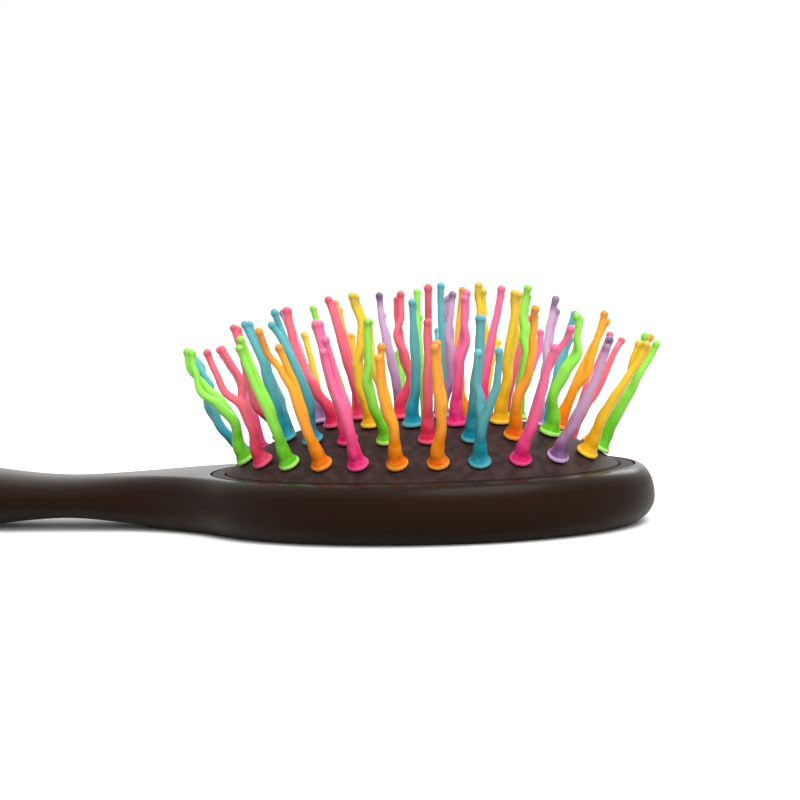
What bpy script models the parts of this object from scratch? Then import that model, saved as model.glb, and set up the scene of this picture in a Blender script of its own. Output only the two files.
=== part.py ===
"""Cushioned hair brush with forked, many-coloured bristle tufts.

The brush lies on its back: +Z points to the bristle tips, +X to the nose of the head, and the handle runs
towards -X. The origin is under the middle of the cushion, on the flat back. All lengths are in metres.
"""

import math
import random

import bmesh
import bpy
import numpy as np
from mathutils import Matrix, Vector

# Fits, and how far a cut runs past what it cuts
FIT_GAP = 0.0003
CUT_OVERRUN = 0.0020

# Domed rubber cushion
CUSHION_LENGTH = 0.0804
CUSHION_WIDTH = 0.0530
CUSHION_RISE = 0.0097
CUSHION_WALL = 0.0016
FLANGE_WIDTH = 0.0020
FLANGE_THICKNESS = 0.0012

# Frame that holds the cushion's flange down
FRAME_WIDTH = 0.0030
FRAME_THICKNESS = 0.0013
FRAME_EDGE_ROUND = 0.0004

# Head of the body
RIM_HEIGHT = 0.0115
HEAD_MARGIN = 0.0069
SHOULDER_WIDTH = 0.0034
UNDERCUT_WIDTH = 0.0060
SIDE_HEIGHT = 0.0052
WELL_LEDGE = 0.0018
WELL_FLOOR = 0.0030
VENT_DIAMETER = 0.0020

# Handle of the body
HANDLE_LENGTH = 0.1220
NECK_WIDTH = 0.0220
NECK_TOP = 0.0108
NECK_LIFT = 0.0020
GRIP_WIDTH = 0.0270
GRIP_TOP = 0.0150
BUTT_WIDTH = 0.0215
BUTT_TOP = 0.0125
BUTT_LIFT = 0.0010
BUTT_ROUND = 0.0120
NECK_FILLET = 0.0260
FILLET_START_SHARE = 0.76
NECK_SHARE = 0.24
GRIP_SHARE = 0.60
REST_SHARES = (0.48, 0.86)
HANDLE_ROUND_SHARE = 0.90

# Tufts: rings of them, from the edge of the cushion to its middle
EDGE_TO_OUTER_RING = 0.0040
CENTRE_ROW_SHIFT = 0.0009
CENTRE_ROW_SHARE = 0.93
FAN_RADIUS = 0.0620

# One tuft
TUFT_HEIGHT = 0.0255
TIP_DROP_SHARE = 0.08
FOOT_DIAMETER = 0.0044
FOOT_EDGE = 0.0005
FOOT_HEIGHT = 0.0024
STEM_DIAMETER = 0.0028
NECK_DIAMETER = 0.0018
BARB_DIAMETER = 0.0031
BARB_HEIGHT = 0.0014
SPLIT_HEIGHT = 0.0085
STRAND_ROOT_DIAMETER = 0.0021
STRAND_DIAMETER = 0.00155
TIP_DIAMETER = 0.0019
TIP_HEIGHT = 0.0018
TIP_NECK_SHARE = 0.55

# How its two strands run: they keep to two lanes, ROOT_LANE and then TIP_LANE before and behind the tuft's
# middle, and go sideways by a share of STRAND_SPREAD at each station above the split. The lanes of the tufts in
# STRAND_SHARES stand square to the photograph's line of sight.
STRAND_SPREAD = 0.0022
ROOT_LANE = 0.00045
TIP_LANE = 0.0011
STATION_SHARES = (0.0, 0.25, 0.5, 0.75, 1.0)
LANE_TURN_SHARE = 1 / 24
LANE_EASE_SHARE = 0.5
SPLIT_WANDER_SHARE = 0.5
STATION_WANDER_SHARE = 0.3
NEAR_SHARE = -0.1
FAR_SHARE = 0.45

# Facets
OVAL_SIDES = 40
BODY_SIDE_POINTS = 34
BEND_WEIGHT = 0.9
ROUND_STEPS = 4
DOME_SHARES = (0.0, 0.16, 0.38, 0.66, 1.0)
TUFT_SIDES = 6
STRAND_RING_SHARES = (0.30, 0.64, 1.0)
VENT_SIDES = 12
DENSE_STEPS = 720

# Colours, as sRGB hex values
BODY_COLOUR = "#1E1511"
CUSHION_COLOUR = "#241919"
FRAME_COLOUR = "#1D1411"
ELASTOMER_COLOURS = {
    "orange": "#F07A14",
    "magenta": "#D81B78",
    "rose": "#E0405F",
    "green": "#62C22C",
    "teal": "#16909E",
    "purple": "#7C5A8C",
    "yellow": "#F0C020",
}

# Each ring: its node name, number of tufts, shift along the ring as a share of the pitch, and its colours in
# order from the first tuft. The first tuft of a ring stands at the middle of the long side that faces -Y.
RINGS = (
    (
        "outer",
        24,
        0.213,
        "orange orange teal magenta purple yellow green orange rose teal magenta yellow "
        "teal green orange yellow teal magenta teal green rose green orange magenta",
    ),
    (
        "middle",
        17,
        -0.271,
        "green rose teal orange green orange purple rose orange green yellow green purple rose teal teal magenta",
    ),
    ("inner", 11, 0.125, "teal magenta yellow green yellow teal purple orange purple rose yellow"),
)
CENTRE_ROW = "rose rose purple magenta"

# Sideways places of a tuft's strands at the split, then of each strand at the four stations above it, as shares
# of STRAND_SPREAD, and each strand's height as a share of TUFT_HEIGHT. These are the tufts that the photograph
# shows; the others draw theirs at random.
STRAND_SHARES = {
    "outer_01": (0.2, (-0.3, -0.5, -0.4, -0.4), 0.94, (-0.1, -0.3, -0.2, 0.0), 0.97),
    "outer_02": (0.4, (0.2, -0.1, -0.3, -0.4), 1.0, (0.5, 0.2, 0.0, -0.1), 0.98),
    "outer_03": (-0.1, (0.2, 0.5, 0.4, 0.1), 0.96, (-0.5, -1.1, -1.3, -1.2), 0.9),
    "outer_04": (0.3, (0.3, 0.1, 0.0, 0.2), 0.98, (0.3, 0.3, 0.6, 1.3), 1.08),
    "outer_05": (0.3, (0.4, 0.4, 0.3, 0.2), 0.98, (0.6, 0.8, 0.7, 0.5), 1.0),
    "outer_06": (-0.2, (-0.2, 0.0, 0.2, 0.2), 1.0, (0.2, 0.4, 0.0, -0.2), 0.96),
    "outer_10": (-0.1, (-0.2, -0.5, -0.6, -0.6), 1.12, (0.1, 0.0, -0.3, -0.2), 0.95),
    "outer_14": (0.2, (0.3, 0.5, 0.5, 0.4), 0.9, (0.1, 0.2, 0.3, 0.2), 0.86),
    "outer_16": (0.2, (0.3, 0.5, 0.7, 0.8), 1.02, (0.4, 0.6, 0.8, 0.9), 1.08),
    "outer_17": (0.2, (0.4, 0.5, 0.5, 0.5), 0.95, (0.6, 0.6, 0.7, 0.7), 0.93),
    "outer_18": (0.7, (0.9, 1.1, 1.0, 0.8), 0.97, (1.0, 1.2, 1.0, 0.9), 0.95),
    "outer_19": (-0.5, (-0.2, 0.8, 0.7, 0.9), 0.97, (-0.6, 0.1, 0.9, 0.3), 0.92),
    "outer_20": (1.0, (0.6, -0.1, 0.5, 1.3), 0.98, (0.9, 0.3, -0.1, 0.6), 1.0),
    "outer_21": (0.8, (1.0, 0.3, 0.5, 0.7), 1.0, (1.15, 1.9, 1.8, 1.7), 1.0),
    "outer_22": (0.3, (0.4, 0.4, 0.5, 0.6), 1.03, (0.6, 0.6, 0.7, 0.8), 1.05),
    "outer_23": (-0.1, (-0.1, 0.0, -0.2, -0.6), 1.11, (0.1, 0.2, 0.1, 0.0), 0.99),
    "outer_24": (0.1, (0.0, -0.3, -0.4, -0.4), 1.0, (0.3, 0.0, 0.0, -0.1), 1.04),
    "middle_01": (-0.5, (-0.7, -0.5, -0.3, -0.1), 1.0, (-0.5, -0.3, -0.1, 0.2), 0.96),
    "middle_02": (0.1, (0.0, 0.1, 0.0, 0.1), 0.98, (0.3, 0.4, 0.2, 0.3), 1.1),
    "middle_03": (0.0, (-0.2, -0.2, -0.4, -0.6), 1.0, (0.1, 0.1, -0.1, -0.3), 0.96),
    "middle_04": (-0.3, (0.0, -0.2, -0.6, -1.0), 1.02, (0.1, 0.0, -0.4, -0.8), 0.97),
    "middle_05": (-0.8, (-0.5, -0.1, -0.9, -1.6), 0.98, (-0.6, -0.2, -0.7, -1.2), 0.94),
    "middle_06": (0.1, (0.6, 0.4, 0.2, 0.0), 1.0, (0.1, 0.2, 0.4, 0.6), 0.96),
    "middle_07": (-0.2, (-0.6, -1.2, -1.5, -1.7), 1.05, (-0.4, -0.9, -1.2, -1.3), 0.98),
    "middle_08": (0.1, (0.2, 0.3, 0.3, 0.3), 0.93, (0.1, 0.2, 0.2, 0.1), 0.9),
    "middle_09": (-0.8, (-1.2, -1.5, -1.6, -1.6), 0.97, (-1.0, -1.3, -1.3, -1.2), 0.93),
    "middle_10": (-0.4, (-0.7, -0.9, -1.0, -0.9), 1.09, (-0.5, -0.7, -0.8, -0.7), 0.98),
    "middle_11": (-0.4, (-0.8, -1.0, -1.0, -0.9), 0.92, (-0.6, -0.8, -0.7, -0.6), 0.9),
    "middle_12": (-0.1, (-0.2, -0.4, -0.6, -0.7), 1.08, (-0.3, -0.6, -0.9, -1.0), 0.96),
    "middle_13": (0.8, (1.2, 1.4, 1.5, 1.4), 0.92, (1.4, 1.6, 1.7, 1.6), 0.9),
    "middle_14": (-1.1, (-0.6, 0.0, 0.1, 0.3), 1.0, (-0.9, -0.4, 0.3, 0.6), 0.98),
    "middle_15": (0.5, (0.7, 1.1, 1.1, 1.1), 1.0, (0.9, 1.3, 1.3, 1.3), 0.97),
    "middle_16": (0.9, (0.9, 0.9, 0.7, 0.3), 1.0, (0.9, 0.8, 0.8, 0.8), 1.06),
    "middle_17": (0.0, (-0.1, -0.1, 0.0, 0.0), 1.0, (0.2, 0.2, 0.2, 0.3), 0.96),
    "inner_01": (0.5, (0.6, 0.5, 0.6, 0.6), 1.0, (0.7, 0.7, 0.6, 0.7), 0.96),
    "inner_02": (0.1, (0.2, 0.6, 0.2, 0.3), 0.98, (-0.1, 0.2, 0.5, 0.6), 1.0),
    "inner_03": (0.2, (-0.3, -0.5, -0.6, -1.0), 1.0, (0.0, 0.1, -0.3, -0.5), 0.97),
    "inner_04": (-0.2, (-0.4, -1.2, -1.8, -1.9), 1.05, (-0.3, -0.8, -1.5, -1.7), 1.0),
    "inner_05": (-0.1, (-0.3, -0.9, -1.5, -2.0), 1.05, (-0.2, -0.6, -1.1, -1.5), 1.03),
    "inner_06": (0.0, (-0.1, -0.2, -0.4, -0.5), 1.07, (0.1, 0.0, -0.2, -0.3), 1.0),
    "inner_07": (-0.3, (-0.6, -0.9, -1.1, -1.1), 1.04, (-0.5, -0.7, -1.0, -0.9), 0.9),
    "inner_08": (0.0, (0.1, 0.2, 0.0, -0.1), 1.0, (-0.1, 0.0, 0.1, 0.2), 0.96),
    "inner_09": (0.1, (0.1, 0.2, 0.1, 0.0), 0.97, (0.2, 0.3, 0.3, 0.3), 0.95),
    "inner_10": (-0.9, (-1.6, -1.6, -1.4, -1.2), 1.0, (-1.4, -1.5, -1.3, -1.1), 0.98),
    "inner_11": (-0.5, (-0.4, 0.3, 0.7, 0.4), 1.07, (-0.2, 0.5, 0.9, 0.6), 1.04),
    "centre_01": (-0.3, (-0.5, -0.6, -0.7, -0.9), 1.0, (-0.3, -0.3, -0.5, -0.7), 0.97),
    "centre_02": (1.1, (0.8, 0.2, 0.8, 0.9), 1.02, (0.6, 0.5, 0.4, 0.6), 0.98),
    "centre_03": (0.9, (0.8, 0.4, 0.6, 0.7), 1.0, (0.6, 0.7, 0.3, 0.4), 0.97),
    "centre_04": (0.0, (0.0, 0.0, 0.1, 0.1), 1.03, (0.1, 0.1, 0.2, 0.2), 0.98),
}

HALF_LENGTH = CUSHION_LENGTH / 2
HALF_WIDTH = CUSHION_WIDTH / 2
RIDGE_HALF = HALF_LENGTH - HALF_WIDTH
RING_STEP = (HALF_WIDTH - EDGE_TO_OUTER_RING) / len(RINGS)

# Levels of the stack in the head, from the rim down
FLANGE_TOP = RIM_HEIGHT - FRAME_THICKNESS - FIT_GAP
FLANGE_BOTTOM = FLANGE_TOP - FLANGE_THICKNESS
LEDGE_HEIGHT = FLANGE_BOTTOM - FIT_GAP

# Ends of the body along X
HEAD_HALF_LENGTH = HALF_LENGTH + HEAD_MARGIN
HEAD_HALF_WIDTH = HALF_WIDTH + HEAD_MARGIN
BUTT_X = -HEAD_HALF_LENGTH - HANDLE_LENGTH
NOSE_ROUND = HEAD_HALF_WIDTH**2 / HEAD_HALF_LENGTH


def clear_scene():
    for obj in list(bpy.data.objects):
        bpy.data.objects.remove(obj, do_unlink=True)


def linear(code):
    """The linear RGBA colour of an sRGB hex value."""
    channels = [int(code[i : i + 2], 16) / 255 for i in (1, 3, 5)]
    return [c / 12.92 if c <= 0.04045 else ((c + 0.055) / 1.055) ** 2.4 for c in channels] + [1.0]


def finish(obj, colour, roughness):
    """Gives the object a plain plastic or rubber material of its own."""
    material = bpy.data.materials.new(obj.name + "_finish")
    material.use_nodes = True
    shader = material.node_tree.nodes["Principled BSDF"]
    shader.inputs["Base Color"].default_value = linear(colour)
    shader.inputs["Roughness"].default_value = roughness
    shader.inputs["Metallic"].default_value = 0.0
    obj.data.materials.append(material)


def add_object(name, bm, parent=None):
    """A mesh object made from the bmesh, closed, facing out and shaded smooth."""
    bmesh.ops.recalc_face_normals(bm, faces=bm.faces[:])
    mesh = bpy.data.meshes.new(name)
    bm.to_mesh(mesh)
    bm.free()
    mesh.shade_smooth()
    mesh.set_sharp_from_angle(angle=math.radians(40))
    obj = bpy.data.objects.new(name, mesh)
    bpy.context.scene.collection.objects.link(obj)
    obj.parent = parent
    return obj


def cut(obj, cutter, name):
    """Takes the cutter's shape out of the object, with a Boolean that stays on it."""
    cutter.hide_render = True
    cutter.display_type = "WIRE"
    boolean = obj.modifiers.new(name, "BOOLEAN")
    boolean.operation = "DIFFERENCE"
    boolean.solver = "EXACT"
    boolean.object = cutter


def bridge(bm, lower, upper):
    """Faces between two rings of the same number of vertices."""
    count = len(lower)
    for i in range(count):
        j = (i + 1) % count
        bm.faces.new((lower[i], lower[j], upper[j], upper[i]))


def loft(rings, close="caps"):
    """A bmesh through rings of points: with flat caps, with its ends merged, or closed on itself."""
    bm = bmesh.new()
    loops = [[bm.verts.new(point) for point in ring] for ring in rings]
    for lower, upper in zip(loops, loops[1:]):
        bridge(bm, lower, upper)
    if close == "loop":
        bridge(bm, loops[-1], loops[0])
    if close == "caps":
        bm.faces.new(reversed(loops[0]))
        bm.faces.new(loops[-1])
    if close == "merge":
        bmesh.ops.remove_doubles(bm, verts=bm.verts[:], dist=FIT_GAP / 100)
    return bm


def oval_angles():
    return np.linspace(0.0, 2 * math.pi, OVAL_SIDES, endpoint=False)


def oval(outset, height):
    """A ring of points at this outset from the cushion's edge, at this height."""
    turn = oval_angles()
    x = (HALF_LENGTH + outset) * np.sin(turn)
    y = -(HALF_WIDTH + outset) * np.cos(turn)
    return np.stack([x, y, np.full(OVAL_SIDES, height)], axis=1)


def dome_point(inset, turn):
    """Top of the cushion at this inset from its edge: a parabola across, with a level ridge along the middle."""
    slack = 1 - inset / HALF_WIDTH
    return Vector(
        (
            (HALF_LENGTH - inset) * math.sin(turn),
            -(HALF_WIDTH - inset) * math.cos(turn),
            RIM_HEIGHT + CUSHION_RISE * (1 - slack**2),
        )
    )


def dome_normal(inset, turn):
    """The direction that points straight out of the cushion there."""
    slope = 2 * CUSHION_RISE * (1 - inset / HALF_WIDTH) / HALF_WIDTH
    outward = Vector(((HALF_WIDTH - inset) * math.sin(turn), -(HALF_LENGTH - inset) * math.cos(turn), 0.0))
    if outward.length < FIT_GAP / 100:
        return Vector((0.0, 0.0, 1.0))
    outward.normalize()
    inward_run = abs(outward.x * math.sin(turn) - outward.y * math.cos(turn))
    return Vector((outward.x * slope, outward.y * slope, inward_run)).normalized()


def ring_turns(inset, count, phase_share):
    """Angles that stand this many tufts at equal distances along a ring of the cushion."""
    turn = np.linspace(0.0, 2 * math.pi, DENSE_STEPS + 1)
    x = (HALF_LENGTH - inset) * np.sin(turn)
    y = -(HALF_WIDTH - inset) * np.cos(turn)
    along = np.concatenate([[0.0], np.cumsum(np.hypot(np.diff(x), np.diff(y)))])
    wanted = (np.arange(count) + phase_share) * along[-1] / count
    return np.interp(wanted % along[-1], along, turn)


def ease(share):
    """Smooth rise from 0 to 1."""
    share = np.clip(share, 0.0, 1.0)
    return share * share * (3 - 2 * share)


def through_stations(share, stations):
    """A size along the handle that eases from each station's value to the next one's."""
    value = np.full_like(share, stations[0][1])
    for (start, low), (end, high) in zip(stations, stations[1:]):
        value = value + (high - low) * ease((share - start) / (end - start))
    return value


def handle_share(x):
    """0 where the handle leaves the head, 1 at the butt."""
    return (-HEAD_HALF_LENGTH - x) / HANDLE_LENGTH


def head_half_width(x):
    return HEAD_HALF_WIDTH * np.sqrt(np.clip(1 - (x / HEAD_HALF_LENGTH) ** 2, 0.0, None))


def handle_half_width(x):
    stations = (
        (0.0, NECK_WIDTH / 2),
        (NECK_SHARE, NECK_WIDTH / 2),
        (GRIP_SHARE, GRIP_WIDTH / 2),
        (1.0, BUTT_WIDTH / 2),
    )
    handle = through_stations(handle_share(x), stations)
    into_round = np.clip((BUTT_ROUND - (x - BUTT_X)) / BUTT_ROUND, 0.0, 1.0)
    return handle * np.sqrt(1 - into_round**2)


def body_half_width(x):
    """Plan outline: the head's oval, a fillet that leaves it along its tangent, and the handle's taper."""
    start = -FILLET_START_SHARE * HEAD_HALF_LENGTH
    end = start - NECK_FILLET
    high = head_half_width(start)
    low = handle_half_width(np.array([end]))[0]
    fall = HEAD_HALF_WIDTH**2 * FILLET_START_SHARE / (HEAD_HALF_LENGTH * high)
    share = np.clip((start - x) / NECK_FILLET, 0.0, 1.0)
    fillet = high + (low - high) * ease(share) - fall * NECK_FILLET * share * (1 - share) ** 2
    return np.where(x > start, head_half_width(x), np.where(x > end, fillet, handle_half_width(x)))


def body_top(x):
    stations = ((0.0, RIM_HEIGHT), (NECK_SHARE, NECK_TOP), (GRIP_SHARE, GRIP_TOP), (1.0, BUTT_TOP))
    return through_stations(handle_share(x), stations)


def body_back(x):
    """Height of the back: flat under the head and under the grip, lifted at the neck and the butt."""
    rest_start, rest_end = REST_SHARES
    stations = ((0.0, 0.0), (NECK_SHARE, NECK_LIFT), (rest_start, 0.0), (rest_end, 0.0), (1.0, BUTT_LIFT))
    return through_stations(handle_share(x), stations)


def body_outline():
    """Points of the plan outline from the nose to the butt on the +Y side, closest where it bends most."""
    spread = (1 - np.cos(np.linspace(0.0, math.pi, DENSE_STEPS + 1))) / 2
    x = HEAD_HALF_LENGTH + (BUTT_X - HEAD_HALF_LENGTH) * spread
    y = body_half_width(x)
    step = np.hypot(np.diff(x), np.diff(y))
    heading = np.unwrap(np.arctan2(np.diff(y), np.diff(x)))
    bend = np.abs(np.diff(heading, prepend=heading[0]))
    step = step / step.sum() + BEND_WEIGHT * bend / bend.sum()
    along = np.concatenate([[0.0], np.cumsum(step)])
    wanted = np.linspace(0.0, along[-1], BODY_SIDE_POINTS)
    side_x = np.interp(wanted, along, x)
    side_y = np.interp(wanted, along, y)
    side_y[[0, -1]] = 0.0
    return side_x, side_y


def body_sections():
    """Half sections from the spine over the shoulder, the side and the undercut back to the spine."""
    side_x, side_y = body_outline()
    x = np.concatenate([side_x, side_x[-2:0:-1]])
    y = np.concatenate([side_y, -side_y[-2:0:-1]])
    spine_x = np.clip(x, BUTT_X + BUTT_ROUND, HEAD_HALF_LENGTH - NOSE_ROUND)
    reach = np.hypot(x - spine_x, y)
    top = body_top(spine_x)
    back = body_back(spine_x)
    into_handle = ease(handle_share(spine_x) / NECK_SHARE)
    shoulder = (1 - into_handle) * SHOULDER_WIDTH + into_handle * HANDLE_ROUND_SHARE * reach
    undercut = (1 - into_handle) * UNDERCUT_WIDTH + into_handle * HANDLE_ROUND_SHARE * reach
    side = (1 - into_handle) * SIDE_HEIGHT + into_handle * (top + back) / 2

    quarter = np.linspace(math.pi / 2, 0.0, ROUND_STEPS + 1)
    insets = [reach] + [shoulder * (1 - math.cos(a)) for a in quarter]
    heights = [top] + [side + (top - side) * math.sin(a) for a in quarter]
    insets += [undercut * (1 - math.cos(a)) for a in quarter[-2::-1]] + [reach]
    heights += [side - (side - back) * math.sin(a) for a in quarter[-2::-1]] + [back]
    rings = []
    for inset, height in zip(insets, heights):
        keep = 1 - inset / reach
        ring = np.stack([spine_x + (x - spine_x) * keep, y * keep, height], axis=1)
        rings.append(ring)
    return rings


def make_body():
    body = add_object("brush_body", loft(body_sections(), close="merge"))
    finish(body, BODY_COLOUR, 0.35)

    pocket = FRAME_WIDTH + FIT_GAP
    seat = FLANGE_WIDTH + FIT_GAP
    steps = (
        (-WELL_LEDGE, WELL_FLOOR),
        (-WELL_LEDGE, LEDGE_HEIGHT),
        (seat, LEDGE_HEIGHT),
        (seat, FLANGE_TOP),
        (pocket, FLANGE_TOP),
        (pocket, RIM_HEIGHT + CUT_OVERRUN),
    )
    well = add_object("well_cutter", loft([oval(outset, height) for outset, height in steps]))
    cut(body, well, "Cushion well")

    vent_bm = bmesh.new()
    bmesh.ops.create_cone(
        vent_bm,
        cap_ends=True,
        segments=VENT_SIDES,
        radius1=VENT_DIAMETER / 2,
        radius2=VENT_DIAMETER / 2,
        depth=WELL_FLOOR + 2 * CUT_OVERRUN,
    )
    vent = add_object("vent_cutter", vent_bm)
    vent.location = (-HALF_LENGTH / 2, 0.0, WELL_FLOOR / 2)
    cut(body, vent, "Air vent")


def make_frame():
    """A ring with rounded upper edges, flush with the rim of the head."""
    bottom = RIM_HEIGHT - FRAME_THICKNESS
    section = (
        (FIT_GAP, bottom),
        (FRAME_WIDTH, bottom),
        (FRAME_WIDTH, RIM_HEIGHT - FRAME_EDGE_ROUND),
        (FRAME_WIDTH - FRAME_EDGE_ROUND, RIM_HEIGHT),
        (FIT_GAP + FRAME_EDGE_ROUND, RIM_HEIGHT),
        (FIT_GAP, RIM_HEIGHT - FRAME_EDGE_ROUND),
    )
    frame = add_object("cushion_frame", loft([oval(*point) for point in section], close="loop"))
    finish(frame, FRAME_COLOUR, 0.35)


def tuft_sites():
    """Every tuft's ring name, number in the ring, place on the dome and colour name."""
    for index, (ring, count, phase_share, colours) in enumerate(RINGS):
        inset = EDGE_TO_OUTER_RING + index * RING_STEP
        turns = ring_turns(inset, count, phase_share)
        for number, (turn, colour) in enumerate(zip(turns, colours.split()), start=1):
            yield ring, number, inset, turn, colour
    colours = CENTRE_ROW.split()
    for number, colour in enumerate(colours, start=1):
        share = 2 * (number - 1) / (len(colours) - 1) - 1
        x = CENTRE_ROW_SHIFT + share * CENTRE_ROW_SHARE * RIDGE_HALF
        yield "centre", number, HALF_WIDTH, math.asin(min(x / RIDGE_HALF, 1.0)), colour


def site_matrix(inset, turn):
    """The tuft's own frame: its foot on the cushion, Z straight out of the surface."""
    up = dome_normal(inset, turn)
    across = (Vector((1.0, 0.0, 0.0)) - up * up.x).normalized()
    turned = Matrix((across, up.cross(across), up)).transposed()
    return Matrix.Translation(dome_point(inset, turn)) @ turned.to_4x4()


def make_cushion():
    """A domed shell on a flat flange, with a hole for each tuft."""
    insets = [share * HALF_WIDTH for share in DOME_SHARES]
    turns = oval_angles()
    top = [[dome_point(inset, turn) for turn in turns] for inset in reversed(insets)]
    under = [
        [dome_point(inset, turn) - dome_normal(inset, turn) * CUSHION_WALL for turn in turns] for inset in insets
    ]
    for ring in (top[0], under[-1]):
        for point in ring:
            point.y = 0.0
    edge = [
        oval(0.0, FLANGE_TOP),
        oval(FLANGE_WIDTH, FLANGE_TOP),
        oval(FLANGE_WIDTH, FLANGE_BOTTOM),
        oval(-CUSHION_WALL, FLANGE_BOTTOM),
    ]
    cushion = add_object("cushion_pad", loft(top + edge + under, close="merge"))
    finish(cushion, CUSHION_COLOUR, 0.55)

    holes = bmesh.new()
    radius = NECK_DIAMETER / 2 + FIT_GAP
    for _, _, inset, turn, _ in tuft_sites():
        bmesh.ops.create_cone(
            holes,
            cap_ends=True,
            segments=TUFT_SIDES,
            radius1=radius,
            radius2=radius,
            depth=CUSHION_WALL + 2 * CUT_OVERRUN,
            matrix=site_matrix(inset, turn) @ Matrix.Translation((0.0, 0.0, -CUSHION_WALL / 2)),
        )
    cut(cushion, add_object("tuft_hole_cutter", holes), "Tuft holes")


def add_ring(bm, centre, radius, angles):
    return [
        bm.verts.new((centre[0] + radius * math.cos(a), centre[1] + radius * math.sin(a), centre[2])) for a in angles
    ]


def centreline(height, lean):
    """The tuft's middle at this height: straight through the foot, then bending into its lean."""
    bend = SPLIT_HEIGHT - FOOT_HEIGHT
    past = max(height - FOOT_HEIGHT, 0.0)
    drift = past**2 / (2 * bend) if past < bend else past - bend / 2
    return Vector((lean[0] * drift, lean[1] * drift, height))


def strand_shares(name, draw):
    """The tuft's entry in STRAND_SHARES, or a drawn one that wanders and parts as those do."""
    split = draw.uniform(-SPLIT_WANDER_SHARE, SPLIT_WANDER_SHARE)
    middle, first, second = split, [], []
    for _ in STATION_SHARES[1:]:
        middle += draw.uniform(-STATION_WANDER_SHARE, STATION_WANDER_SHARE)
        apart = draw.uniform(NEAR_SHARE, FAR_SHARE)
        first.append(middle + apart)
        second.append(middle - apart)
    heights = [1 - TIP_DROP_SHARE * draw.random() for _ in (first, second)]
    return STRAND_SHARES.get(name, (split, first, heights[0], second, heights[1]))


def add_strand(bm, base, middle_at, tip):
    """One strand grows from its half of the split stem through middle_at(height), and ends in a ball tip."""
    start = middle_at(SPLIT_HEIGHT)
    first = math.atan2(base[0].co.y - start.y, base[0].co.x - start.x)
    angles = [first + 2 * math.pi * i / len(base) for i in range(len(base))]
    tip_neck = tip - TIP_HEIGHT
    lower = base
    for share in STRAND_RING_SHARES:
        centre = middle_at(SPLIT_HEIGHT + share * (tip_neck - SPLIT_HEIGHT))
        size = STRAND_ROOT_DIAMETER + (STRAND_DIAMETER - STRAND_ROOT_DIAMETER) * share
        upper = add_ring(bm, centre, size / 2, angles)
        bridge(bm, lower, upper)
        lower = upper
    ball = add_ring(bm, middle_at(tip - TIP_HEIGHT * TIP_NECK_SHARE), TIP_DIAMETER / 2, angles)
    bridge(bm, lower, ball)
    pole = bm.verts.new(middle_at(tip))
    for i in range(len(ball)):
        bm.faces.new((ball[i], ball[(i + 1) % len(ball)], pole))


def make_tuft(name, inset, turn, colour, parent, draw):
    """Barb, neck, flared foot and stem in one moulding, whose stem splits into two strands."""
    place = site_matrix(inset, turn)
    site = place.translation
    fan = place.to_3x3().transposed() @ Vector((site.x, site.y, FAN_RADIUS))
    lean = (fan.x / fan.z, fan.y / fan.z)
    split, first, first_height, second, second_height = strand_shares(name, draw)
    turned = 2 * math.pi * (LANE_TURN_SHARE if name in STRAND_SHARES else draw.random())

    def middle_at(height, shares, before):
        """The strand's middle: the tuft's leaning middle, moved sideways and into the strand's lane."""
        above = (height - SPLIT_HEIGHT) / (TUFT_HEIGHT - SPLIT_HEIGHT)
        into_split = ease((height - FOOT_HEIGHT) / (SPLIT_HEIGHT - FOOT_HEIGHT))
        sideways = through_stations(np.array(above), list(zip(STATION_SHARES, (split, *shares))))
        sideways = STRAND_SPREAD * float(sideways - split * (1 - into_split))
        lane = before * (ROOT_LANE * into_split + (TIP_LANE - ROOT_LANE) * ease(above / LANE_EASE_SHARE))
        move = (
            sideways * math.cos(turned) - lane * math.sin(turned),
            sideways * math.sin(turned) + lane * math.cos(turned),
            0.0,
        )
        return centreline(height, lean) + Vector(move)

    bm = bmesh.new()
    angles = [turned + 2 * math.pi * (0.5 + i / TUFT_SIDES) for i in range(TUFT_SIDES)]
    barb = -CUSHION_WALL - FIT_GAP
    profile = (
        (barb, BARB_DIAMETER),
        (barb, NECK_DIAMETER),
        (FIT_GAP, NECK_DIAMETER),
        (FIT_GAP, FOOT_DIAMETER),
        (FIT_GAP + FOOT_EDGE, FOOT_DIAMETER),
        (FOOT_HEIGHT, STEM_DIAMETER),
        (SPLIT_HEIGHT, STEM_DIAMETER),
    )
    point = bm.verts.new((0.0, 0.0, barb - BARB_HEIGHT))
    stem_middles = [middle_at(height, first, 0) for height, _ in profile]
    rings = [add_ring(bm, middle, size / 2, angles) for middle, (_, size) in zip(stem_middles, profile)]
    for i in range(TUFT_SIDES):
        bm.faces.new((rings[0][(i + 1) % TUFT_SIDES], rings[0][i], point))
    for lower, upper in zip(rings, rings[1:]):
        bridge(bm, lower, upper)

    crotch = bm.verts.new(stem_middles[-1])
    facets = TUFT_SIDES // 2
    for half, (shares, height_share) in enumerate(((first, first_height), (second, second_height))):
        base = [rings[-1][(half * facets + i) % TUFT_SIDES] for i in range(facets + 1)] + [crotch]
        before = 2 * half - 1
        add_strand(
            bm, base, lambda height: middle_at(height, shares, before), TUFT_HEIGHT * height_share
        )

    tuft = add_object("tuft_" + name, bm, parent)
    tuft.matrix_local = Matrix.Translation(-parent.location) @ place
    finish(tuft, ELASTOMER_COLOURS[colour], 0.40)


def make_tufts():
    """Each ring of tufts hangs from an empty at the middle of the cushion, because a ring sinks as one."""
    draw = random.Random(7)
    carriers = {}
    for ring, number, inset, turn, colour in tuft_sites():
        if ring not in carriers:
            carrier = bpy.data.objects.new(ring + "_ring_carrier", None)
            bpy.context.scene.collection.objects.link(carrier)
            carrier.location = (0.0, 0.0, RIM_HEIGHT)
            carriers[ring] = carrier
        make_tuft(f"{ring}_{number:02d}", inset, turn, colour, carriers[ring], draw)


clear_scene()
make_body()
make_frame()
make_cushion()
make_tufts()
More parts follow.
